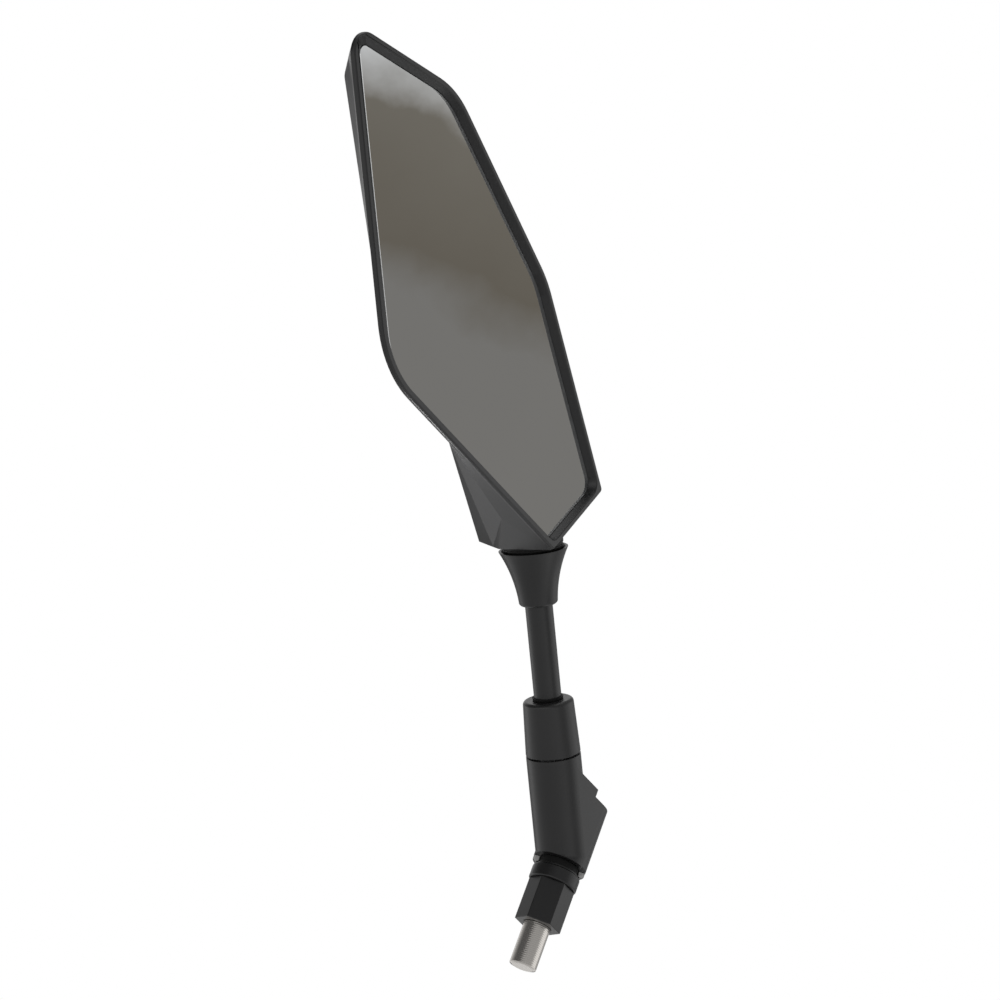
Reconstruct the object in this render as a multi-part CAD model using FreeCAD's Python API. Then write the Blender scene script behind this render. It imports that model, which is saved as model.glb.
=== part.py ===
"""Motorcycle mirror for the left handlebar: M10 swivel base, bent arm, straight stem and ball-jointed head.

Millimetres, +Z up along the stud. The origin is the centre of the nut's underside, where the mirror
seats on its clamp. The arm leans to -X and the glass faces -Y, towards the rider.
"""
import FreeCAD, Part
import math
import os

V = FreeCAD.Vector

# Clearances
run_gap = 0.05
cup_gap = 0.08
seal_gap = 0.6
disc_gap = 0.15
circlip_gap = 0.6
lock_nut_gap = 0.22
parting_gap = 0.6
boot_gap = 0.75
socket_gap = 0.25
glass_gap = 0.15
pad_gap = 0.5

# Base: stud, nut and ring
stud_diameter = 10.0
stud_length = 16.0
stud_point = 1.0
nut_across_flats = 15.0
nut_height = 16.0
nut_turn = 3.8
nut_mouth = 0.4
ring_diameter = 18.0
ring_height = 5.4
ring_edge = 0.7
washer_diameter = 15.8
washer_height = 0.6

# Swivel inside the elbow's boss
seal_height = 2.6
seal_wall = 2.0
bush_wall = 2.25
circlip_height = 1.2
circlip_depth = 0.8
circlip_shelf = 0.4
circlip_opening = 4.0
pivot_diameter = 9.4
pivot_length = 21.0
pivot_headroom = 0.7
pivot_head = 3.3
pivot_rim = 1.9
disc_count = 4
disc_stack = 5.0
disc_thickness = 0.8

# Elbow
bend_angle = 45.0
arm_diameter = 20.0
arm_length = 38.0
elbow_rise = 3.9
boss_height = 24.9
boss_step = 2.9
step_reach = 7.0
skirt_width = 2.2
skirt_drop = 2.2
skirt_chamfer = 0.65
skirt_margin = 0.1
skirt_sweep = 180.0
skirt_opening = 217.0

# Stem, in distances from the bend along the arm
stem_length = 116.8
rod_start = 17.0
rod_diameter = 10.0
rod_chamfer = 0.8
neck_diameter = 7.6
neck_length = 10.5
neck_taper = 1.5
lock_nut_width = 14.0
lock_nut_height = 6.0
lock_nut_headroom = 1.0
sleeve_length = 20.8
sleeve_top_diameter = 18.4
sleeve_edge = 0.25
sleeve_round = 1.4
rod_seal_width = 0.75
rod_seal_height = 1.9

# Flared boot, hung from its mouth below the ball
boot_drop = 2.4
boot_length = 20.4
boot_foot = 14.0
boot_waist = 17.2
boot_wall = 0.85
boot_floor = 4.0
boot_edge = 0.7

# Ball joint, in distances from the ball's centre along the stem
ball_diameter = 13.0
liner_thickness = 1.45
liner_below = 4.2
liner_above = 6.0
cup_wall = 1.45
cup_crown = 1.55
cup_step = 0.2
cup_spring = 3.2
cup_disc_hole = 7.0
cup_disc_margin = 0.9
cup_disc_thickness = 0.7
socket_wall = 1.5
socket_seat = 2.2
socket_reach = 7.8
seat_below = 5.0
mouth_wall = 3.4
spigot_height = 2.8
groove_height = 0.8
groove_depth = 0.45
groove_heights = (-1.4, 0.6)

# Head
head_length = 199.2
head_height = 97.4
rim_front = 16.0
rim_edge = 0.6
lip_depth = 1.5
side_depth = 5.5
tray_depth = 9.0
crown_depth = 14.0
crown_inset = 13.0
glass_setback = 2.7
glass_thickness = 1.8
pad_thickness = 0.8
pad_inset = 6.5
tower_roof = 2.0

stud_radius = stud_diameter / 2
pivot_radius = pivot_diameter / 2
seal_bore = pivot_radius + seal_gap
arm_radius = arm_diameter / 2
rod_radius = rod_diameter / 2
bore_radius = pivot_radius + run_gap + bush_wall
ring_top = nut_height + ring_height
washer_top = ring_top + washer_height
boss_bottom = washer_top + seal_height
circlip_low = boss_bottom + circlip_shelf
circlip_top = circlip_low + circlip_height
pivot_top = boss_bottom + pivot_length
head_foot = pivot_top - pivot_headroom - pivot_head
elbow_centre = boss_bottom + elbow_rise
sleeve_top = arm_length + sleeve_length
stem_place = FreeCAD.Placement(V(0, 0, elbow_centre), FreeCAD.Rotation(V(0, 1, 0), -bend_angle))
ball_place = stem_place.multiply(FreeCAD.Placement(V(0, 0, stem_length), FreeCAD.Rotation()))

ball_radius = ball_diameter / 2
liner_radius = ball_radius + run_gap + liner_thickness
seat_radius = liner_radius + run_gap
cup_bore = seat_radius + cup_wall
socket_radius = cup_bore + socket_wall
spigot_top = socket_seat + spigot_height
cup_top = seat_radius + cup_crown
cup_bore_end = cup_top + cup_spring


def placed(shape, place):
    copy = shape.copy()
    copy.Placement = place.multiply(copy.Placement)
    return copy


def turned(profile):
    """Solid of revolution about Z from (radius, height) points."""
    points = [V(r, 0, z) for r, z in profile]
    face = Part.Face(Part.makePolygon(points + points[:1]))
    return face.revolve(V(0, 0, 0), V(0, 0, 1), 360)


def tube(inner, outer, low, high):
    return turned([(inner, low), (outer, low), (outer, high), (inner, high)])


def rod(radius, low, high):
    return Part.makeCylinder(radius, high - low, V(0, 0, low))


def ball(radius):
    return Part.makeSphere(radius)


def hexagon(across, low, high, turn=0.0):
    corners = []
    for side in range(6):
        angle = math.radians(60 * side + turn)
        reach = across / math.sqrt(3)
        corners.append(V(reach * math.cos(angle), reach * math.sin(angle), low))
    return Part.Face(Part.makePolygon(corners + corners[:1])).extrude(V(0, 0, high - low))


def disc_spring(inner, outer, low, high, thick, rising):
    """Conical spring washer between two heights; a rising one rests on its outer edge."""
    hole, edge = (high - thick, low) if rising else (low, high - thick)
    return turned([(inner, hole), (outer, edge), (outer, edge + thick), (inner, hole + thick)])


def save(name, shape):
    shape = shape.removeSplitter()
    if len(shape.Solids) != 1 or not shape.isValid():
        raise ValueError(f"{name}: {len(shape.Solids)} solids, valid {shape.isValid()}")
    shape.Solids[0].exportStep(f"parts/{name}.step")
    print(name, round(shape.Volume), "mm3")


# Base

def make_stud():
    """Threaded stud, its thinner pivot above the nut's seat and the head that keeps the swivel together."""
    head = pivot_radius + pivot_rim
    head_top = head_foot + pivot_head
    chamfer = pivot_rim / 2
    return turned([
        (0, -stud_length), (stud_radius - stud_point, -stud_length),
        (stud_radius, stud_point - stud_length), (stud_radius, 0),
        (pivot_radius, 0), (pivot_radius, head_foot), (head, head_foot),
        (head, head_top - chamfer), (head - chamfer, head_top), (0, head_top),
    ])


def make_nut():
    """Long hexagon nut, its mouth countersunk past the stud's thread."""
    mouth_radius = stud_radius + nut_mouth
    mouth = Part.makeCone(mouth_radius, pivot_radius, mouth_radius - pivot_radius)
    body = hexagon(nut_across_flats, 0, nut_height, nut_turn)
    return body.cut(rod(pivot_radius, 0, nut_height)).cut(mouth)


def make_ring():
    outer = ring_diameter / 2
    lower_edge = ring_edge / 2
    return turned([
        (pivot_radius, nut_height), (outer - lower_edge, nut_height), (outer, nut_height + lower_edge),
        (outer, ring_top - ring_edge), (outer - ring_edge, ring_top), (pivot_radius, ring_top),
    ])


def swivel_disc(number):
    pitch = disc_stack / disc_count
    low = head_foot - disc_stack + pitch * number
    outer = pivot_radius + pivot_rim
    return disc_spring(pivot_radius + disc_gap, outer, low, low + pitch, disc_thickness, number % 2 == 0)


# Elbow and stem

def make_skirt():
    """C-shaped bead below the boss, open to one side."""
    outer = arm_radius - skirt_margin
    inner = outer - skirt_width
    low = boss_bottom - skirt_drop
    root = boss_bottom + circlip_shelf / 2
    section = [
        (inner, low + skirt_chamfer), (inner + skirt_chamfer, low), (outer - skirt_chamfer, low),
        (outer, low + skirt_chamfer), (outer, root), (inner, root),
    ]
    points = [V(r, 0, z) for r, z in section]
    bead = Part.Face(Part.makePolygon(points + points[:1])).revolve(V(0, 0, 0), V(0, 0, 1), skirt_sweep)
    bead.rotate(V(0, 0, 0), V(0, 0, 1), skirt_opening - 180 - skirt_sweep / 2)
    return bead


def make_elbow():
    """Boss on the stud and arm for the stem, joined by flat tangent sides with a stepped top."""
    boss_top = boss_bottom + boss_height
    high = boss_top + boss_step
    lean = (high - elbow_centre) * math.tan(math.radians(bend_angle))
    boss = rod(arm_radius, boss_bottom, high)
    arm = placed(rod(arm_radius, 0, arm_length), stem_place)
    side = [V(0, -arm_radius, elbow_centre), V(0, -arm_radius, high), V(-lean, -arm_radius, high)]
    web = Part.Face(Part.makePolygon(side + side[:1])).extrude(V(0, arm_diameter, 0))
    body = boss.fuse([arm, web])
    wide = arm_length + arm_diameter
    below = Part.makeBox(2 * wide, 2 * wide, wide, V(-wide, -wide, boss_bottom - wide))
    beyond = Part.makeBox(wide, 2 * wide, wide, V(-step_reach, -wide, boss_top))
    body = body.cut(below).cut(beyond).fuse(make_skirt())
    body = body.cut(rod(bore_radius, boss_bottom - skirt_drop, pivot_top))
    body = body.cut(rod(bore_radius + circlip_depth, circlip_low, circlip_top))
    return body.cut(placed(rod(rod_radius, rod_start, arm_length), stem_place))


def make_circlip():
    outer = bore_radius + circlip_depth
    ring = tube(pivot_radius + circlip_gap, outer, circlip_low, circlip_top)
    opening = Part.makeBox(outer, circlip_opening, circlip_height, V(0, -circlip_opening / 2, circlip_low))
    return ring.cut(opening)


def make_rod():
    """Stem rod from inside the arm to its ball."""
    neck = neck_diameter / 2
    neck_start = stem_length - neck_length
    shaft = turned([
        (0, rod_start), (rod_radius - rod_chamfer, rod_start), (rod_radius, rod_start + rod_chamfer),
        (rod_radius, neck_start - neck_taper), (neck, neck_start), (neck, stem_length), (0, stem_length),
    ])
    return placed(shaft, stem_place).fuse(placed(ball(ball_radius), ball_place))


def make_lock_nut():
    high = arm_length + lock_nut_height
    nut = hexagon(lock_nut_width, arm_length, high).cut(rod(rod_radius, arm_length, high))
    return placed(nut, stem_place)


def make_sleeve():
    """Cover sleeve over the lock nut, tapered, with a rounded top."""
    low = arm_length + parting_gap
    top = sleeve_top_diameter / 2
    hollow = lock_nut_width / math.sqrt(3) + lock_nut_gap
    roof = arm_length + lock_nut_height + lock_nut_headroom
    shape = turned([
        (hollow, low), (arm_radius - sleeve_edge, low), (arm_radius, low + sleeve_edge), (top, sleeve_top),
        (rod_radius, sleeve_top), (rod_radius, roof + lock_nut_headroom), (hollow, roof),
    ])
    top_edges = [e for e in shape.Edges if e.BoundBox.ZMin > sleeve_top - sleeve_edge]
    rim = [e for e in top_edges if e.BoundBox.XMax > top - sleeve_edge]
    return placed(shape.makeFillet(sleeve_round, rim), stem_place)


def make_rod_seal():
    outer = rod_radius + rod_seal_width
    chamfer = rod_seal_width / 3
    top = sleeve_top + rod_seal_height
    seal = turned([
        (rod_radius, sleeve_top), (outer - chamfer, sleeve_top), (outer, top - 2 * chamfer),
        (outer - chamfer, top), (rod_radius, top),
    ])
    return placed(seal, stem_place)


def make_boot():
    """Trumpet-shaped boot around the ball joint: one arc outside and its offset inside."""
    foot = boot_foot / 2
    mouth = socket_radius + boot_gap + boot_wall
    high = stem_length - boot_drop
    low = high - boot_length
    floor = low + boot_floor
    waist = V(boot_waist / 2, 0, (low + high) / 2)
    outside = Part.ArcOfCircle(V(foot, 0, low + boot_edge), waist, V(mouth, 0, high))

    def inside(z):
        reach = math.sqrt((outside.Radius + boot_wall) ** 2 - (z - outside.Center.z) ** 2)
        return V(outside.Center.x - reach, 0, z)

    inner = Part.Arc(inside(high), inside((floor + high) / 2), inside(floor))
    corners = [
        inside(floor), V(rod_radius, 0, floor), V(rod_radius, 0, low), V(foot - boot_edge, 0, low),
        V(foot, 0, low + boot_edge),
    ]
    edges = [outside.toShape(), Part.makeLine(V(mouth, 0, high), inside(high)), inner.toShape()]
    for start, stop in zip(corners, corners[1:]):
        edges.append(Part.makeLine(start, stop))
    face = Part.Face(Part.Wire(edges))
    return placed(face.revolve(V(0, 0, 0), V(0, 0, 1), 360), stem_place)


# Ball joint, in the ball's own frame with Z along the rod

def make_liner():
    """Slippery liner band between ball and socket, round inside and out."""
    band = ball(liner_radius).cut(ball(ball_radius + run_gap))
    return placed(band.common(rod(socket_radius, -liner_below, liner_above)), ball_place)


def make_cup():
    cup = rod(cup_bore - cup_gap, spigot_top + cup_step, cup_top).cut(ball(seat_radius))
    return placed(cup, ball_place)


def cup_disc(low, high, rising):
    disc = disc_spring(cup_disc_hole / 2, cup_bore - cup_disc_margin, low, high, cup_disc_thickness, rising)
    return placed(disc, ball_place)


def make_socket_ring():
    """Ridged ring that closes the socket from below, with a screwed spigot inside the housing."""
    bowl = ball(socket_radius).common(rod(socket_radius, -socket_reach, 0))
    body = bowl.fuse([rod(socket_radius, 0, socket_seat), rod(cup_bore, 0, spigot_top)])
    body = body.cut(ball(seat_radius)).cut(rod(seat_radius + run_gap, 0, spigot_top))
    seat_edge = math.sqrt(seat_radius ** 2 - seat_below ** 2)
    mouth_depth = socket_reach - seat_below
    mouth = Part.makeCone(socket_radius - mouth_wall, seat_edge, mouth_depth, V(0, 0, -socket_reach))
    body = body.cut(mouth)
    groove_floor = socket_radius - groove_depth
    for height in groove_heights:
        body = body.cut(tube(groove_floor, 2 * socket_radius, height, height + groove_height))
    return placed(body, ball_place)


# Head: the corners of its outline as shares of its length and height, hung from the toe beside the ball

outline_shares = {
    "tip": (0.0, 0.794), "crown": (0.261, 1.0), "brow": (0.644, 0.816),
    "shoulder": (1.0, 0.405), "toe": (0.931, 0.050), "heel": (0.381, 0.0),
}
toe_from_ball = (-6.7, -7.4)
corner_radii = [7.6, 29.0, 40.0, 1.6, 2.0, 33.0]
sight_radii = [2.8, 26.0, 37.0, 5.0, 3.5, 30.0]
side_radii = [6.0, 27.0, 38.0, 1.6, 2.0, 36.0]
back_radii = [4.0, 20.0, 30.0, 2.0, 2.0, 22.0]
crown_radii = [3.0, 14.0, 22.0, 2.0, 2.0, 14.0]


def head_point(x_share, z_share):
    toe_x, toe_z = outline_shares["toe"]
    x = ball_place.Base.x + toe_from_ball[0] + (x_share - toe_x) * head_length
    z = ball_place.Base.z + toe_from_ball[1] + (z_share - toe_z) * head_height
    return x, z


def inset(points, amounts):
    """Polygon moved inwards by its own amount at each edge; edge i runs from point i to point i + 1."""
    lines = []
    for i, (x, z) in enumerate(points):
        nx, nz = points[(i + 1) % len(points)]
        size = math.hypot(nx - x, nz - z)
        dx, dz = (nx - x) / size, (nz - z) / size
        lines.append((x + dz * amounts[i], z - dx * amounts[i], dx, dz))
    moved = []
    for i, (x, z, dx, dz) in enumerate(lines):
        px, pz, qx, qz = lines[i - 1]
        s = ((x - px) * dz - (z - pz) * dx) / (qx * dz - qz * dx)
        moved.append((px + s * qx, pz + s * qz))
    return moved


def rounded(points, radii, depth):
    """Closed wire through the polygon with rounded corners, at a depth behind the rim's front."""
    corners = [V(x, depth - rim_front, z) for x, z in points]
    arcs = []
    for i, here in enumerate(corners):
        before = (corners[i - 1] - here).normalize()
        after = (corners[(i + 1) % len(corners)] - here).normalize()
        half = before.getAngle(after) / 2
        middle = (before + after).normalize()
        start = here + before * (radii[i] / math.tan(half))
        stop = here + after * (radii[i] / math.tan(half))
        arcs.append((start, here + middle * (radii[i] / math.sin(half) - radii[i]), stop))
    edges = []
    for i, (start, bow, stop) in enumerate(arcs):
        edges.append(Part.Arc(start, bow, stop).toShape())
        edges.append(Part.makeLine(stop, arcs[(i + 1) % len(arcs)][0]))
    return Part.Wire(edges)


def smaller(radii, amount):
    return [max(r - amount, rim_edge) for r in radii]


def layer(first, second):
    return Part.makeLoft([first, second], True, True)


def plate(points, radii, depth, thick):
    return Part.Face(rounded(points, radii, depth)).extrude(V(0, thick, 0))


# Edge order: top, upper right, right, lower right, bottom, left
rim_sides = [2.1, 2.0, 2.0, 2.2, 2.5, 2.5]
sight_sides = [3.3, 3.3, 3.3, 3.2, 2.8, 6.1]
draft_sides = [1.6, 1.4, 1.4, 1.2, 2.8]
draft_left_at_tip = 3.6
draft_left_at_heel = 6.2
back_sides = [9.0, 6.0, 6.0, 3.0, 8.8]
back_top_at_tip = 8.0
back_left_at_tip = 4.7
back_left_at_heel = 11.8
outline = [head_point(x, z) for x, z in outline_shares.values()]
rim_line = inset(outline, rim_sides)
glass_line = inset(outline, sight_sides)
side_line = inset(outline, draft_sides + [draft_left_at_heel])
side_line[0] = inset(outline, draft_sides + [draft_left_at_tip])[0]
back_line = inset(outline, back_sides + [back_left_at_heel])
back_line[0] = inset(outline, [back_top_at_tip] * 5 + [back_left_at_tip])[0]
crown_line = inset(back_line, [crown_inset] * 6)
glass_back = glass_setback + glass_thickness


def make_tray():
    """Lip, drafted sides, sloping back and low crown; the left side leans over towards the tip."""
    bevel = layer(
        rounded(inset(outline, [rim_edge] * 6), smaller(corner_radii, rim_edge), 0),
        rounded(outline, corner_radii, rim_edge))
    lip = plate(outline, corner_radii, rim_edge, lip_depth - rim_edge)
    side = layer(rounded(outline, corner_radii, lip_depth), rounded(side_line, side_radii, side_depth))
    back = layer(rounded(side_line, side_radii, side_depth), rounded(back_line, back_radii, tray_depth))
    crown = layer(rounded(back_line, back_radii, tray_depth), rounded(crown_line, crown_radii, crown_depth))
    return bevel.fuse([lip, side, back, crown])


# The joint's bulge starts at the lip, on the bottom and lower right edges, and has its other corners
# given as x and z from the toe and depth behind the rim's front
bulge_run = 69.3
bulge_side = 32.0
bulge_corners = {
    "crest": (-53.0, 45.0, 6.0), "keel": (-3.9, -2.8, 20.4), "fold": (-22.6, -2.1, 8.4),
    "chin": (-2.7, -1.0, 24.3), "nape": (1.5, 3.4, 34.9), "back": (9.3, 23.3, 30.0),
}
bulge_faces = [
    "toe side run", "side crest run", "run fold toe", "fold keel toe", "run chin fold", "fold chin keel",
    "run nape chin", "chin nape keel", "toe back side", "toe keel back", "keel nape back",
    "run crest nape", "crest back nape", "crest side back",
]


def make_bulge():
    """Faceted bulge on the back of the head around the ball joint."""
    shoulder, toe, heel = [V(x, lip_depth - rim_front, z) for x, z in outline[3:]]
    corners = {
        "toe": toe,
        "run": toe + (heel - toe).normalize() * bulge_run,
        "side": toe + (shoulder - toe).normalize() * bulge_side,
    }
    for name, (x, z, depth) in bulge_corners.items():
        corners[name] = V(toe.x + x, depth - rim_front, toe.z + z)
    faces = []
    for names in bulge_faces:
        loop = [corners[name] for name in names.split()]
        faces.append(Part.Face(Part.makePolygon(loop + loop[:1])))
    solid = Part.makeSolid(Part.makeShell(faces))
    if solid.Volume < 0:
        solid.reverse()
    return solid


def pad_shape(margin):
    line = inset(glass_line, [margin] * 6)
    return plate(line, smaller(sight_radii, margin / 2), glass_back, pad_thickness)


def make_housing():
    """Moulded head shell: tray, bulge and socket tower, less the sight pocket and the socket bore."""
    tower = placed(rod(socket_radius, socket_seat, cup_bore_end + tower_roof), ball_place)
    body = make_tray().fuse([make_bulge(), tower])
    window = layer(rounded(rim_line, sight_radii, 0), rounded(glass_line, sight_radii, glass_setback))
    pane = plate(glass_line, sight_radii, glass_setback, glass_thickness)
    body = body.cut(window).cut(pane).cut(pad_shape(pad_inset - pad_gap))
    body = body.cut(placed(rod(socket_radius + socket_gap, -2 * socket_radius, socket_seat), ball_place))
    return body.cut(placed(rod(cup_bore, socket_seat, cup_bore_end), ball_place))


def make_glass():
    return plate(inset(glass_line, [glass_gap] * 6), sight_radii, glass_setback, glass_thickness)


os.makedirs("parts", exist_ok=True)
save("threaded_stud", make_stud())
save("hex_nut", make_nut())
save("flange_ring", make_ring())
save("thrust_washer", tube(pivot_radius, washer_diameter / 2, ring_top, washer_top))
for number in range(disc_count):
    save(f"swivel_disc_{number + 1}", swivel_disc(number))
save("elbow", make_elbow())
save("dust_seal", tube(seal_bore, seal_bore + seal_wall, washer_top, boss_bottom))
save("pivot_circlip", make_circlip())
save("pivot_bush", tube(pivot_radius + run_gap, bore_radius, circlip_top, head_foot - disc_stack))
save("stem_rod", make_rod())
save("lock_nut", make_lock_nut())
save("cover_sleeve", make_sleeve())
save("rod_seal", make_rod_seal())
save("flared_boot", make_boot())
save("ball_liner", make_liner())
save("pressure_cup", make_cup())
spring_middle = cup_top + cup_spring / 2
save("cup_disc_1", cup_disc(cup_top, spring_middle, True))
save("cup_disc_2", cup_disc(spring_middle, cup_bore_end, False))
save("socket_ring", make_socket_ring())
save("housing_shell", make_housing())
save("mirror_glass", make_glass())
save("glass_pad", pad_shape(pad_inset))
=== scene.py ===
import math

import bpy
from mathutils import Matrix, Vector


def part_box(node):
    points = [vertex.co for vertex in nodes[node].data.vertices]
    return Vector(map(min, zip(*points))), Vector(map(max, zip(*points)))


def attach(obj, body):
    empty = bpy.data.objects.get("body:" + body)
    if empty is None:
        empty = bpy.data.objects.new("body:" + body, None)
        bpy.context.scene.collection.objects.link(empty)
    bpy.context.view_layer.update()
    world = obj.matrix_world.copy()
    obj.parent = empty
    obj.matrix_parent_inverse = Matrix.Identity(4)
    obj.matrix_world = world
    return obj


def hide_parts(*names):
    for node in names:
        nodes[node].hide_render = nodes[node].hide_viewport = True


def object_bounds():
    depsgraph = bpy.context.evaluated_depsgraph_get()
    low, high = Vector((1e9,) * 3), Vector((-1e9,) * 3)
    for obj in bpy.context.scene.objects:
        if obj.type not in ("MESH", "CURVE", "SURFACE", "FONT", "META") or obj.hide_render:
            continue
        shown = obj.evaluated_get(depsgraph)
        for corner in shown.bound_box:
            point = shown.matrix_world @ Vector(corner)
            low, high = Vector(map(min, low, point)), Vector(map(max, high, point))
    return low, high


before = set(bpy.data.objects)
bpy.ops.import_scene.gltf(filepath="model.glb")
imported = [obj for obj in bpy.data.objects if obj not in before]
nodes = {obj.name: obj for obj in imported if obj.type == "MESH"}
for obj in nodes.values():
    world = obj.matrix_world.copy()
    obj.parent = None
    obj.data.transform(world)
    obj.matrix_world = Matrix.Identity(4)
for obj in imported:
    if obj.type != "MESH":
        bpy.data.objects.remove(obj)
cadLow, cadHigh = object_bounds()
mm = 0.001
mergeGap = 0.000001  # metres, as all lengths here
cutGap = 0.0000001
flatAngle = 0.25  # degrees, as all angles here
plainFold = 34.0
plainSmooth = 42.0
faceWeight = 80
print("frame loaded, nodes:", len(nodes))


# selection helpers

def deselectAll():
    bpy.ops.object.select_all(action="DESELECT")


def pick(piece):
    deselectAll()
    piece.select_set(True)
    bpy.context.view_layer.objects.active = piece


def editAll(piece):
    pick(piece)
    bpy.ops.object.mode_set(mode="EDIT")
    bpy.ops.mesh.select_all(action="SELECT")


def editDone():
    bpy.ops.object.mode_set(mode="OBJECT")


def selectFaces(piece, test):
    bpy.context.tool_settings.mesh_select_mode = (False, False, True)
    editAll(piece)
    bpy.ops.mesh.select_all(action="DESELECT")
    editDone()
    for face in piece.data.polygons:
        face.select = test(face)
    bpy.ops.object.mode_set(mode="EDIT")


def applyModifier(piece, kind, settings):
    pick(piece)
    modifier = piece.modifiers.new(kind.lower(), kind)
    for key, value in settings.items():
        setattr(modifier, key, value)
    bpy.ops.object.modifier_apply(modifier=modifier.name)


def cutAway(place, along):
    bpy.ops.mesh.bisect(plane_co=place, plane_no=along, clear_outer=True, use_fill=True, threshold=cutGap)


# shader wiring

class Wire:
    def __init__(self, tree, socket=None):
        self.tree = tree
        self.socket = socket

    def node(self, kind, settings=None, sockets=None, out=0):
        made = self.tree.nodes.new(kind)
        for key, value in (settings or {}).items():
            if key == "stops":  # a ramp's stops: place and colour
                stops = made.color_ramp.elements
                while len(stops) < len(value):
                    stops.new(0.5)
                for stop, (place, colour) in zip(stops, value):
                    stop.position = place
                    stop.color = colour
            else:
                setattr(made, key, value)
        for key, value in (sockets or {}).items():
            if isinstance(value, Wire):
                self.tree.links.new(value.socket, made.inputs[key])
            else:
                made.inputs[key].default_value = value
        return Wire(self.tree, made.outputs[out] if len(made.outputs) else None)

    def outlet(self, name):
        return Wire(self.tree, self.socket.node.outputs[name])

    def maths(self, operation, first, second=0.0):
        return self.node("ShaderNodeMath", {"operation": operation}, {0: first, 1: second})

    def __add__(self, other):
        return self.maths("ADD", self, other)

    def __radd__(self, other):
        return self.maths("ADD", other, self)

    def __sub__(self, other):
        return self.maths("SUBTRACT", self, other)

    def __rsub__(self, other):
        return self.maths("SUBTRACT", other, self)

    def __mul__(self, other):
        return self.maths("MULTIPLY", self, other)

    def __rmul__(self, other):
        return self.maths("MULTIPLY", other, self)

    def __truediv__(self, other):
        return self.maths("DIVIDE", self, other)

    def __rtruediv__(self, other):
        return self.maths("DIVIDE", other, self)

    def __pow__(self, other):
        return self.maths("POWER", self, other)

    def clamped(self):
        return self.node("ShaderNodeClamp", {}, {"Value": self})


def startFinish(name):
    finish = bpy.data.materials.new(name)
    finish.use_nodes = True
    finish.node_tree.nodes.clear()
    return finish, Wire(finish.node_tree)


def closeFinish(wire, surface):
    wire.node("ShaderNodeOutputMaterial", {}, {"Surface": surface})


def objectPlace(wire):
    return wire.node("ShaderNodeTexCoord", {}, {}, "Object")


def noise(wire, place, scale, detail=2.0, roughness=0.5):
    sockets = {"Vector": place, "Scale": scale, "Detail": detail, "Roughness": roughness}
    return wire.node("ShaderNodeTexNoise", {}, sockets, "Fac")


def blendColour(wire, factor, dark, light):
    stops = [(0.0, (*dark, 1.0)), (1.0, (*light, 1.0))]
    return wire.node("ShaderNodeValToRGB", {"stops": stops}, {"Fac": factor}, "Color")


def bump(wire, height, strength, distance):
    sockets = {"Height": height, "Strength": strength, "Distance": distance}
    return wire.node("ShaderNodeBump", {}, sockets, "Normal")


def mixColour(wire, factor, first, second):
    sockets = {"Factor": factor, 6: first, 7: (*second, 1.0)}  # the colour sockets
    return wire.node("ShaderNodeMix", {"data_type": "RGBA"}, sockets, 2)


def cutEnds(wire, place, look):
    sockets = {0: place, 1: look["cutFacing"]}
    off = wire.node("ShaderNodeVectorMath", {"operation": "DOT_PRODUCT"}, sockets, "Value")
    height = wire.node("ShaderNodeSeparateXYZ", {}, {"Vector": place}, "Z")
    flush = wire.maths("LESS_THAN", wire.maths("ABSOLUTE", off), look["cutDepth"])
    return flush * wire.maths("LESS_THAN", height, look["cutTop"])


grainMix = {
    "cloudDetail": 3.0, "grainDetail": 2.0, "grainBreak": 0.6, "speckScale": 0.31, "main": 0.7, "rest": 0.3,
}


def grainedFinish(name, look):
    finish, wire = startFinish(name)
    place = objectPlace(wire)
    main, rest = grainMix["main"], grainMix["rest"]
    cloud = noise(wire, place, look["cloudScale"], grainMix["cloudDetail"])  # slow change of tone and gloss
    # texture of the mould or coating
    grain = noise(wire, place, look["grainScale"], grainMix["grainDetail"], grainMix["grainBreak"])
    speck = noise(wire, place, look["grainScale"] * grainMix["speckScale"], 1.0)
    rough = look["rough"] + (cloud - 0.5) * look["roughSwing"] + (grain - 0.5) * look["grainRough"]
    colour = blendColour(wire, cloud * main + grain * rest, look["dark"], look["light"])
    if "cutColour" in look:  # the bead's cut ends are left bare
        colour = mixColour(wire, cutEnds(wire, place, look), colour, look["cutColour"])
    sockets = {
        "Base Color": colour,
        "Roughness": rough.clamped(),
        "Metallic": look.get("metallic", 0.0),
        "Specular IOR Level": look["specular"],
        "Normal": bump(wire, grain * main + speck * rest, look["grainStrength"], look["grainDepth"]),
    }
    closeFinish(wire, wire.node("ShaderNodeBsdfPrincipled", {}, sockets))
    return finish


mouldedPlastic = {
    "dark": (0.0105, 0.0105, 0.011), "light": (0.0155, 0.0155, 0.016),
    "cloudScale": 40.0, "grainScale": 5200.0, "rough": 0.38, "roughSwing": 0.06, "grainRough": 0.06,
    "specular": 0.5, "grainStrength": 0.06, "grainDepth": 0.00004,
}
coatedMetal = {
    "dark": (0.0105, 0.0105, 0.011), "light": (0.0150, 0.0150, 0.0155),
    "cloudScale": 55.0, "grainScale": 4200.0, "rough": 0.36, "roughSwing": 0.06, "grainRough": 0.05,
    "specular": 0.5, "grainStrength": 0.05, "grainDepth": 0.00004,
}
elbowCoating = {
    **coatedMetal, "cutColour": (0.60, 0.60, 0.59), "cutFacing": (-0.7986, -0.6018, 0.0),
    "cutDepth": 0.02 * mm, "cutTop": 24.55 * mm,
}
nutCoating = {
    "dark": (0.0080, 0.0080, 0.0085), "light": (0.0125, 0.0125, 0.013),
    "cloudScale": 80.0, "grainScale": 4600.0, "rough": 0.33, "roughSwing": 0.06, "grainRough": 0.05,
    "specular": 0.5, "grainStrength": 0.05, "grainDepth": 0.00003,
}
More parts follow.
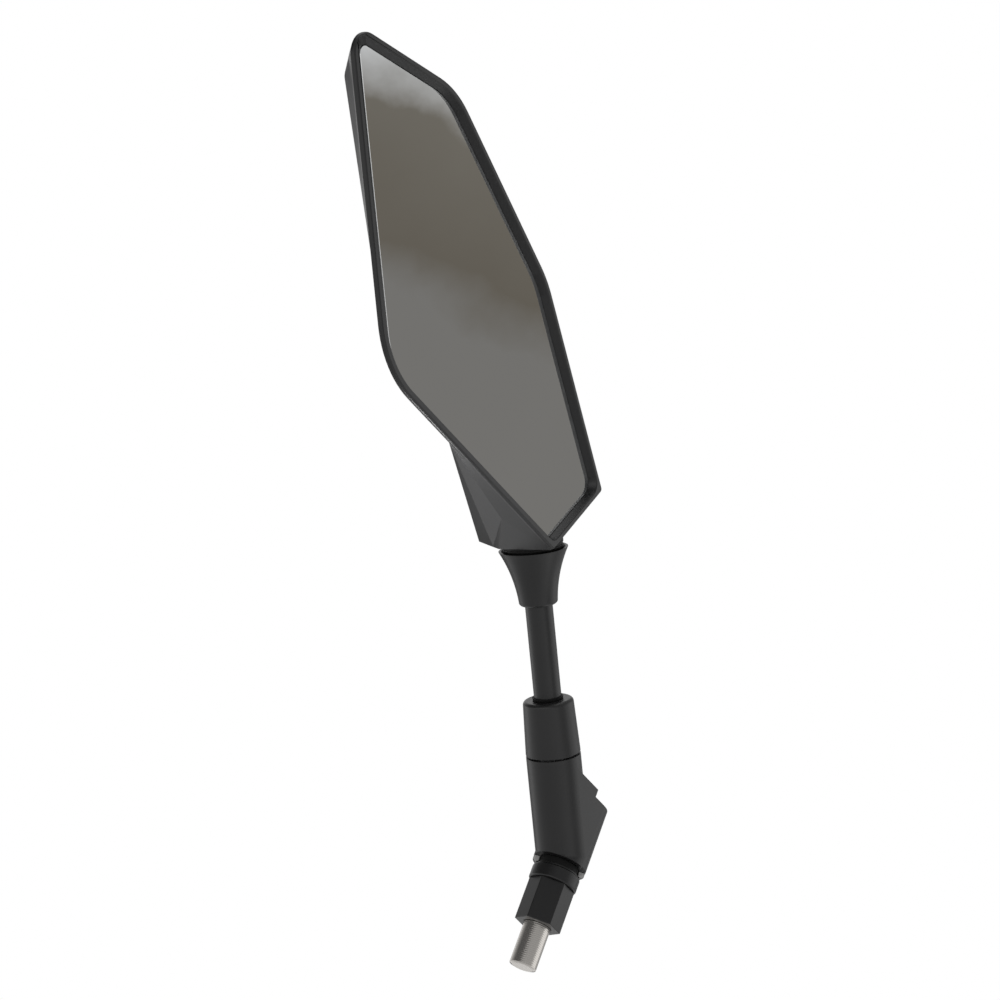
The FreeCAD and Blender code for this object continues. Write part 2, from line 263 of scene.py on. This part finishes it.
# black rubber, made darker still to paint the deep shade of the gap at the neck under the elbow; the rod seal
# shares it
softRubber = {
    "dark": (0.0045, 0.0045, 0.0045), "light": (0.0075, 0.0075, 0.0075),
    "cloudScale": 90.0, "grainScale": 3600.0, "rough": 0.62, "roughSwing": 0.10, "grainRough": 0.10,
    "specular": 0.25, "grainStrength": 0.10, "grainDepth": 0.00004,
}
# black plastic, made darker and duller than the moulded plastic to paint the deep shade in the gap under the
# head
socketShadowPlastic = {
    "dark": (0.0045, 0.0045, 0.0045), "light": (0.0075, 0.0075, 0.0075),
    "cloudScale": 90.0, "grainScale": 4200.0, "rough": 0.50, "roughSwing": 0.08, "grainRough": 0.06,
    "specular": 0.25, "grainStrength": 0.06, "grainDepth": 0.00004,
}
linerAcetal = {
    "dark": (0.72, 0.70, 0.64), "light": (0.80, 0.78, 0.72),
    "cloudScale": 120.0, "grainScale": 2600.0, "rough": 0.34, "roughSwing": 0.08, "grainRough": 0.05,
    "specular": 0.45, "grainStrength": 0.05, "grainDepth": 0.00004,
}
padFoam = {
    "dark": (0.05, 0.05, 0.05), "light": (0.11, 0.11, 0.11),
    "cloudScale": 150.0, "grainScale": 1400.0, "rough": 0.85, "roughSwing": 0.08, "grainRough": 0.10,
    "specular": 0.2, "grainStrength": 0.5, "grainDepth": 0.0002,
}
sinteredBronze = {
    "dark": (0.42, 0.28, 0.13), "light": (0.62, 0.45, 0.24),
    "cloudScale": 140.0, "grainScale": 2800.0, "rough": 0.38, "roughSwing": 0.10, "grainRough": 0.14,
    "specular": 0.5, "grainStrength": 0.2, "grainDepth": 0.00006, "metallic": 1.0,
}

turnedSteel = {
    "cloudScale": 220.0, "cloudDetail": 3.0, "ringSquash": 0.1, "ringDetail": 2.0,
    # grooveShade is painted shade: how much darker the colour gets from crestRadius in to grooveRadius
    "grooveShade": 0.7, "grooveRough": 0.06, "ringStrength": 0.03, "ringDepth": 0.00002,
}
studSteel = {
    **turnedSteel, "crest": (0.72, 0.69, 0.65), "groove": (0.60, 0.575, 0.54),
    "crestRadius": 5.0 * mm, "grooveRadius": 4.96 * mm,
    "rough": 0.20, "roughSwing": 0.05, "turnScale": 900.0, "turnSwing": 0.05,
}
springSteel = {
    **turnedSteel, "crest": (0.46, 0.46, 0.47), "groove": (0.30, 0.30, 0.31),
    "crestRadius": 9.0 * mm, "grooveRadius": 4.0 * mm,
    "rough": 0.30, "roughSwing": 0.12, "turnScale": 1200.0, "turnSwing": 0.25,
}


def steelFinish(name, look):
    finish, wire = startFinish(name)
    place = objectPlace(wire)
    side = wire.node("ShaderNodeSeparateXYZ", {}, {"Vector": place}, "X")
    across, along = side.outlet("Y"), side.outlet("Z")
    radius = (side * side + across * across) ** 0.5
    depth = ((look["crestRadius"] - radius) / (look["crestRadius"] - look["grooveRadius"])).clamped()
    cloud = noise(wire, place, look["cloudScale"], look["cloudDetail"])
    squash = look["ringSquash"]
    ringPlace = wire.node("ShaderNodeCombineXYZ", {}, {"X": side * squash, "Y": across * squash, "Z": along})
    turning = noise(wire, ringPlace, look["turnScale"], look["ringDetail"])  # fine rings left by rolling
    # painted shade: the colour darkens into the stud's thread grooves, and on the spring steel pieces the
    # same ramp darkens it towards the axis
    shade = (1 - depth * look["grooveShade"] + (turning - 0.5) * look["turnSwing"]).clamped()
    rough = look["rough"] + depth * look["grooveRough"] + (cloud - 0.5) * look["roughSwing"]
    sockets = {
        "Base Color": blendColour(wire, shade, look["groove"], look["crest"]),
        "Metallic": 1.0,
        "Roughness": rough.clamped(),
        "Normal": bump(wire, turning, look["ringStrength"], look["ringDepth"]),
    }
    closeFinish(wire, wire.node("ShaderNodeBsdfPrincipled", {}, sockets))
    return finish


silvering = {
    "colour": (0.90, 0.91, 0.915), "haze": (0.86, 0.87, 0.87),
    "rough": 0.0018, "roughSwing": 0.002, "cloudScale": 18.0, "cloudDetail": 3.0,
}


def mirrorFinish(name, look):
    finish, wire = startFinish(name)
    place = objectPlace(wire)
    cloud = noise(wire, place, look["cloudScale"], look["cloudDetail"])
    sockets = {
        "Base Color": blendColour(wire, cloud, look["haze"], look["colour"]),
        "Metallic": 1.0,
        "Roughness": (look["rough"] + (cloud - 0.5) * look["roughSwing"]).clamped(),
    }
    closeFinish(wire, wire.node("ShaderNodeBsdfPrincipled", {}, sockets))
    return finish


finishes = {
    "moulded_black": grainedFinish("mouldedPlastic", mouldedPlastic),
    "black_metal": grainedFinish("coatedMetal", coatedMetal),
    "elbow_coating": grainedFinish("elbowCoating", elbowCoating),
    "socket_shadow_plastic": grainedFinish("socketShadowPlastic", socketShadowPlastic),
    "black_nut": grainedFinish("nutCoating", nutCoating),
    "soft_black": grainedFinish("softRubber", softRubber),
    "liner_acetal": grainedFinish("linerAcetal", linerAcetal),
    "foam": grainedFinish("padFoam", padFoam),
    "bush_bronze": grainedFinish("sinteredBronze", sinteredBronze),
    "plated_steel": steelFinish("studSteel", studSteel),
    "spring_steel": steelFinish("springSteel", springSteel),
    "mirror": mirrorFinish("silvering", silvering),
}
nodeFinishes = {
    "spring_steel": [
        "swivel_disc_1", "swivel_disc_2", "swivel_disc_3", "swivel_disc_4",
        "pivot_circlip", "lock_nut", "cup_disc_1", "cup_disc_2",
    ],
    "bush_bronze": ["pivot_bush"],
    "liner_acetal": ["ball_liner", "pressure_cup"],
    "foam": ["glass_pad"],
    "plated_steel": ["threaded_stud"],
    "black_nut": ["hex_nut", "flange_ring", "thrust_washer"],
    "elbow_coating": ["elbow"],
    "socket_shadow_plastic": ["socket_ring"],
    "black_metal": ["stem_rod"],
    "soft_black": ["dust_seal", "rod_seal"],
    "moulded_black": ["cover_sleeve", "flared_boot", "housing_shell"],
    "mirror": ["mirror_glass"],
}
for slotName, nodeNames in nodeFinishes.items():
    for nodeName in nodeNames:
        for holder in nodes[nodeName].material_slots:
            holder.link = "OBJECT"
            holder.material = finishes[slotName]
print("finishes made:", len(finishes))


# dressed pieces

def copyNode(name, nodeName):
    piece = bpy.data.objects.new(name, nodes[nodeName].data.copy())
    bpy.context.scene.collection.objects.link(piece)
    editAll(piece)
    bpy.ops.mesh.remove_doubles(threshold=mergeGap)
    bpy.ops.mesh.dissolve_limited(angle_limit=math.radians(flatAngle))
    editDone()
    return piece


def finishPiece(piece, look):
    piece.data.materials.clear()
    piece.data.materials.append(finishes[look.get("finish", look["slot"])])
    pick(piece)
    bpy.ops.object.shade_smooth_by_angle(angle=math.radians(look.get("smoothAngle", plainSmooth)))
    applyModifier(piece, "WEIGHTED_NORMAL", {"keep_sharp": True, "weight": faceWeight})
    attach(piece, look["body"])
    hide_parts(look["node"])
    print("piece", piece.name, "faces", len(piece.data.polygons))


def markEdges(piece, look, within):
    mesh = piece.data
    sides = {}
    for face in mesh.polygons:
        for key in face.edge_keys:
            sides.setdefault(key, []).append(face)
    weights = mesh.attributes.get("bevel_weight_edge")
    if weights is None:
        weights = mesh.attributes.new("bevel_weight_edge", "FLOAT", "EDGE")
    sharp = math.radians(look.get("edgeAngle", plainFold))
    crease = math.radians(look.get("creaseAngle", plainFold))  # softer folds count only between broad faces
    for edge in mesh.edges:
        first, second = sides[edge.key]
        fold = first.normal.angle(second.normal)
        broad = min(first.area, second.area) > look.get("creaseArea", 0.0)
        folded = fold > sharp or (broad and fold > crease)
        rearmost = max(mesh.vertices[index].co.y for index in edge.vertices)  # the glass faces -Y
        weights.data[edge.index].value = float(folded and within(rearmost))


def roundEdges(piece, look, width, clamp, within):
    markEdges(piece, look, within)
    rounding = {
        "width": width, "segments": look.get("steps", 2), "limit_method": "WEIGHT",
        "use_clamp_overlap": clamp, "miter_outer": "MITER_ARC", "harden_normals": False,
    }
    applyModifier(piece, "BEVEL", rounding)


def dressNode(name, look):
    piece = copyNode(name, look["node"])
    if "trimAt" in look:  # the lip stands lower than its solid
        editAll(piece)
        cutAway(look["trimAt"], look["trimAlong"])
        editDone()
    front = look.get("frontOf", -math.inf)
    if "rimEdge" in look:  # the rim's front has room for a rounding that isn't clamped
        roundEdges(piece, look, look["rimEdge"], False, lambda y: y < front)
    # the clamp leaves edges with close neighbours nearly sharp
    roundEdges(piece, look, look["edge"], True, lambda y: y >= front)
    finishPiece(piece, look)
    return piece


housing = {
    "node": "housing_shell", "body": "head", "slot": "moulded_black", "edge": 0.40 * mm, "steps": 3,
    "edgeAngle": 30.0, "creaseAngle": 5.0, "creaseArea": 6.0 * mm * mm,
    "rimEdge": 0.34 * mm, "frontOf": -15.0 * mm,
}
housingShell = dressNode("housingShell", housing)

glass = {"node": "mirror_glass", "body": "head", "slot": "mirror", "edge": 0.08 * mm, "steps": 1}
dressNode("mirrorGlass", glass)

# the socket ring takes the darker finish that paints deep shade into the gap under the head
socket = {
    "node": "socket_ring", "body": "head", "slot": "moulded_black", "finish": "socket_shadow_plastic",
    "edge": 0.15 * mm,
}
dressNode("socketRing", socket)

boot = {"node": "flared_boot", "body": "stem", "slot": "moulded_black", "edge": 0.22 * mm}
dressNode("flaredBoot", boot)

rodLook = {"node": "stem_rod", "body": "stem", "slot": "black_metal", "edge": 0.25 * mm}
dressNode("stemRod", rodLook)

rodSealLook = {
    "node": "rod_seal", "body": "stem", "slot": "soft_black", "edge": 0.15 * mm,
    "trimAt": (-42.350 * mm, 0.0, 70.850 * mm), "trimAlong": (-0.70711, 0.0, 0.70711),
}
dressNode("rodSeal", rodSealLook)

sleeve = {"node": "cover_sleeve", "body": "stem", "slot": "moulded_black", "edge": 0.20 * mm}
dressNode("coverSleeve", sleeve)

elbowLook = {
    "node": "elbow", "body": "stem", "slot": "black_metal", "finish": "elbow_coating",
    "edge": 0.30 * mm, "steps": 3,
}
dressNode("elbowBody", elbowLook)

dustSealLook = {"node": "dust_seal", "body": "stem", "slot": "soft_black", "edge": 0.20 * mm}
dressNode("dustSeal", dustSealLook)

ring = {"node": "flange_ring", "body": "base", "slot": "black_nut", "edge": 0.20 * mm}
dressNode("flangeRing", ring)

nut = {"node": "hex_nut", "body": "base", "slot": "black_nut", "edge": 0.25 * mm, "steps": 3}
dressNode("hexNut", nut)

washer = {"node": "thrust_washer", "body": "base", "slot": "black_nut", "edge": 0.12 * mm}
dressNode("thrustWasher", washer)

stud = {
    "node": "threaded_stud", "body": "base", "slot": "plated_steel", "smoothAngle": 24.0,
    "pitch": 0.75 * mm, "crestRadius": 5.0 * mm, "rootRadius": 4.97 * mm, "crestFlat": 0.34, "rootFlat": 0.12,
    "length": 16.0 * mm, "point": 1.0 * mm, "tip": 0.42 * mm, "steps": 72, "spare": 0.2 * mm,
    "top": 0.38 * mm, "lap": 0.03 * mm, "turnsBelow": 3, "spareTurns": 5, "weld": 0.000002,
}


def windThread(look):
    deselectAll()
    pitch = look["pitch"]
    flank = (1 - look["crestFlat"] - look["rootFlat"]) / 2
    rise = look["crestRadius"] - look["rootRadius"]
    start = -look["length"] - look["turnsBelow"] * pitch
    bpy.ops.mesh.primitive_plane_add(size=pitch, location=(look["rootRadius"], 0, start))
    thread = bpy.context.object
    thread.name = "threadedStud"
    bpy.ops.object.transform_apply(location=True, rotation=True, scale=True)
    editAll(thread)
    bpy.ops.mesh.merge(type="CENTER")
    runs = [(0, look["rootFlat"]), (rise, flank), (0, look["crestFlat"]), (-rise, flank)]
    for outward, share in runs:  # one pitch of the profile
        bpy.ops.mesh.extrude_region_move(TRANSFORM_OT_translate={"value": (outward, 0, share * pitch)})
    editDone()
    turns = math.ceil(look["length"] / pitch) + look["spareTurns"]
    screw = {
        "axis": "Z", "angle": 2 * math.pi, "screw_offset": pitch, "iterations": turns, "steps": look["steps"],
        "render_steps": look["steps"], "use_merge_vertices": True, "merge_threshold": look["weld"],
        "use_smooth_shade": True,
    }
    applyModifier(thread, "SCREW", screw)
    editAll(thread)
    bpy.ops.mesh.remove_doubles(threshold=look["weld"])
    low, high = -look["length"] - pitch, look["top"]
    for level, way in ((low, -1), (high, 1)):
        bpy.ops.mesh.select_all(action="SELECT")
        cutAway((0, 0, level), (0, 0, way))
    bpy.ops.mesh.select_all(action="SELECT")
    bpy.ops.mesh.normals_make_consistent(inside=False)
    editDone()
    return thread


def pointedBlank(look):
    deselectAll()
    reach = look["crestRadius"] + look["spare"]
    height = 2 * (look["length"] - look["tip"])
    bpy.ops.mesh.primitive_cylinder_add(
        vertices=look["steps"], radius=reach, depth=height, location=(0, 0, 0))
    blank = bpy.context.object
    bpy.ops.object.transform_apply(location=True, rotation=True, scale=True)
    selectFaces(blank, lambda face: face.normal.z < -0.9)
    bpy.ops.mesh.inset(thickness=look["point"] + look["spare"], depth=look["tip"])
    editDone()
    return blank


def joinSolids(piece, other, operation):
    applyModifier(piece, "BOOLEAN", {"operation": operation, "object": other, "solver": "EXACT"})
    bpy.data.objects.remove(other)


def cutThread(look):
    thread = windThread(look)
    joinSolids(thread, pointedBlank(look), "INTERSECT")  # turns the point on the thread's end
    pivot = copyNode("studPivot", look["node"])
    editAll(pivot)
    cutAway((0, 0, look["top"] - look["lap"]), (0, 0, -1))
    editDone()
    joinSolids(thread, pivot, "UNION")
    editAll(thread)
    bpy.ops.mesh.remove_doubles(threshold=look["weld"])
    bpy.ops.mesh.dissolve_degenerate(threshold=mergeGap)
    editDone()
    return thread


threadedStud = cutThread(stud)
finishPiece(threadedStud, stud)
print("pieces dressed")


# floor, camera and light

floorLook = {"level": -0.62, "size": 5.0, "pale": (0.86, 0.86, 0.86), "fadeFrom": 0.35, "fadeTo": 1.90}


def layFloor(look):
    deselectAll()
    bpy.ops.mesh.primitive_plane_add(size=look["size"], location=(0, 0, look["level"]))
    floor = bpy.context.object
    floor.name = "studioFloor"
    finish, wire = startFinish("studioFloor")
    place = objectPlace(wire)
    reach = wire.node("ShaderNodeVectorMath", {"operation": "LENGTH"}, {0: place}, "Value")
    fade = ((reach - look["fadeFrom"]) / (look["fadeTo"] - look["fadeFrom"])).clamped()
    path = wire.node("ShaderNodeLightPath", {}, {}, "Is Camera Ray")
    seen = (path + path.outlet("Is Glossy Ray")).clamped()
    paint = wire.node("ShaderNodeBsdfDiffuse", {}, {"Color": (*look["pale"], 1.0)})
    white = wire.node("ShaderNodeEmission", {}, {"Color": (1, 1, 1, 1), "Strength": 1.0})
    closeFinish(wire, wire.node("ShaderNodeMixShader", {}, {0: fade * seen, 1: paint, 2: white}))
    floor.data.materials.append(finish)


layFloor(floorLook)

cameraLook = {
    "lens": 75.195, "sensor": 36.0, "place": (-0.599449, -0.428297, -0.212029),
    "right": (0.479624, -0.808660, 0.340632), "up": (-0.560230, 0.016573, 0.828171),
    "back": (-0.675354, -0.588043, -0.445087), "near": 0.01, "far": 50.0,
}


def setCamera(look):
    deselectAll()
    bpy.ops.object.camera_add()
    camera = bpy.context.object
    camera.name = "photoCamera"
    camera.data.lens = look["lens"]
    camera.data.sensor_width = look["sensor"]
    camera.data.clip_start = look["near"]
    camera.data.clip_end = look["far"]
    turn = Matrix((look["right"], look["up"], look["back"])).transposed().to_4x4()
    camera.matrix_world = Matrix.Translation(look["place"]) @ turn
    bpy.context.scene.camera = camera


setCamera(cameraLook)

middle = (cadLow + cadHigh) / 2
lamps = {  # place as metres right, up and towards the camera from the middle of the mirror
    "sideLamp": {"place": (1.30, -0.05, -0.35), "size": 1.3, "watts": 2.4},
    "frontLamp": {"place": (-0.45, 0.35, 1.10), "size": 1.0, "watts": 1.0},
    "topLamp": {"place": (0.10, 1.13, -0.10), "size": 0.8, "watts": 2.2},
    "facetLamp": {"place": (-0.007, -0.036, 0.015), "size": 0.024, "watts": 0.026, "only": housingShell},
}


def hangLamp(name, look):
    deselectAll()
    right, up, back = (Vector(cameraLook[key]) for key in ("right", "up", "back"))
    offset = right * look["place"][0] + up * look["place"][1] + back * look["place"][2]
    bpy.ops.object.light_add(type="AREA", location=middle + offset)
    lamp = bpy.context.object
    lamp.name = name
    lamp.data.shape = "DISK"
    lamp.data.size = look["size"]
    lamp.data.energy = look["watts"]
    lamp.rotation_mode = "QUATERNION"
    lamp.rotation_quaternion = (-offset).to_track_quat("-Z", "Y")
    lamp.visible_camera = False
    if "only" in look:  # a small fill lights one piece alone
        reach = bpy.data.collections.new(name)
        reach.objects.link(look["only"])
        lamp.light_linking.receiver_collection = reach


for lampName, lampLook in lamps.items():
    hangLamp(lampName, lampLook)

skyLook = {  # the room as gloss sees it
    "soft": 0.50, "lit": 0.38,
    "parts": [  # dimmer and brighter: way, gain, cosines where it is full and where it ends
        ((-0.821, 0.385, 0.421), -0.28, 0.88, 0.58),
        ((0.700, 0.705, 0.100), -0.34, 0.98, 0.91),
        ((0.420, 0.690, 0.590), 0.60, 0.95, 0.84),
        ((0.020, 0.985, -0.150), 1.00, 0.985, 0.95),
    ],
}


def setSky(look):
    world = bpy.data.worlds.new("studio")
    bpy.context.scene.world = world
    world.use_nodes = True
    world.node_tree.nodes.clear()
    wire = Wire(world.node_tree)
    way = wire.node("ShaderNodeTexCoord", {}, {}, "Generated")
    gloss = look["lit"]
    dot = {"operation": "DOT_PRODUCT"}
    for partWay, gain, full, end in look["parts"]:
        facing = wire.node("ShaderNodeVectorMath", dot, {0: way, 1: partWay}, "Value")
        gloss = gloss + ((facing - end) / (full - end)).clamped() * gain
    path = wire.node("ShaderNodeLightPath", {}, {}, "Is Camera Ray")
    shown = (path + path.outlet("Is Transmission Ray")).clamped()
    glossy = path.outlet("Is Glossy Ray")
    soft = wire.node("ShaderNodeBackground", {}, {"Color": (1, 1, 1, 1), "Strength": look["soft"]})
    room = wire.node("ShaderNodeBackground", {}, {"Color": (1, 1, 1, 1), "Strength": gloss})
    plain = wire.node("ShaderNodeBackground", {}, {"Color": (1, 1, 1, 1), "Strength": 1.0})
    lit = wire.node("ShaderNodeMixShader", {}, {0: glossy, 1: soft, 2: room})
    mixed = wire.node("ShaderNodeMixShader", {}, {0: shown, 1: lit, 2: plain})
    wire.node("ShaderNodeOutputWorld", {}, {"Surface": mixed})


setSky(skyLook)

ground = (0.190, 0.184, 0.174, 1)
bank = (0.135, 0.121, 0.100, 1)
hill = (0.165, 0.152, 0.130, 1)
paleSky = (0.58, 0.585, 0.59, 1)
cardLook = {  # what the glass faces: a pale sky over a brown bank and grey ground, out of the camera's sight
    "far": 0.9, "size": 1.2, "halfWide": 0.17, "halfHigh": 0.25, "lean": -0.16,
    "waveScale": 14.0, "waveDetail": 5.0, "waveHeight": 0.14,
    "bands": [(0.0, ground), (0.46, ground), (0.54, bank), (0.74, hill), (0.82, paleSky)],
}


def hangCard(look):
    deselectAll()
    glassLow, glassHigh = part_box("mirror_glass")
    glassMiddle = (glassLow + glassHigh) / 2
    seen = (glassMiddle - Vector(cameraLook["place"])).normalized()
    towards = Vector((seen.x, -seen.y, seen.z))  # the glass faces -Y
    upright = Vector(cameraLook["up"]) * Vector((1, -1, 1))
    across = upright.cross(-towards).normalized()
    turn = Matrix((across, (-towards).cross(across), -towards)).transposed()
    bpy.ops.mesh.primitive_plane_add(size=look["size"], location=glassMiddle + towards * look["far"])
    card = bpy.context.object
    card.name = "skyCard"
    card.rotation_mode = "QUATERNION"
    card.rotation_quaternion = turn.to_quaternion()
    finish, wire = startFinish("skyCard")
    place = objectPlace(wire)
    wide = wire.node("ShaderNodeSeparateXYZ", {}, {"Vector": place}, "X") / look["halfWide"]
    high = wire.node("ShaderNodeSeparateXYZ", {}, {"Vector": place}, "Y") / look["halfHigh"]
    wave = (noise(wire, place, look["waveScale"], look["waveDetail"]) - 0.5) * look["waveHeight"]
    level = high * 0.5 + 0.5 + wide * look["lean"] + wave
    colour = wire.node("ShaderNodeValToRGB", {"stops": look["bands"]}, {"Fac": level}, "Color")
    scene = wire.node("ShaderNodeEmission", {}, {"Color": colour, "Strength": 1.0})
    clear = wire.node("ShaderNodeBsdfTransparent", {}, {"Color": (1, 1, 1, 1)})
    # only the glass sees the card, the grained pieces look past it
    sharp = wire.node("ShaderNodeLightPath", {}, {}, "Is Singular Ray")
    closeFinish(wire, wire.node("ShaderNodeMixShader", {}, {0: sharp, 1: clear, 2: scene}))
    card.data.materials.append(finish)
    card.visible_camera = False
    card.visible_diffuse = False
    card.visible_shadow = False
    card.visible_transmission = False


hangCard(cardLook)

view = bpy.context.scene.view_settings
view.view_transform = "Standard"
print("studio set")
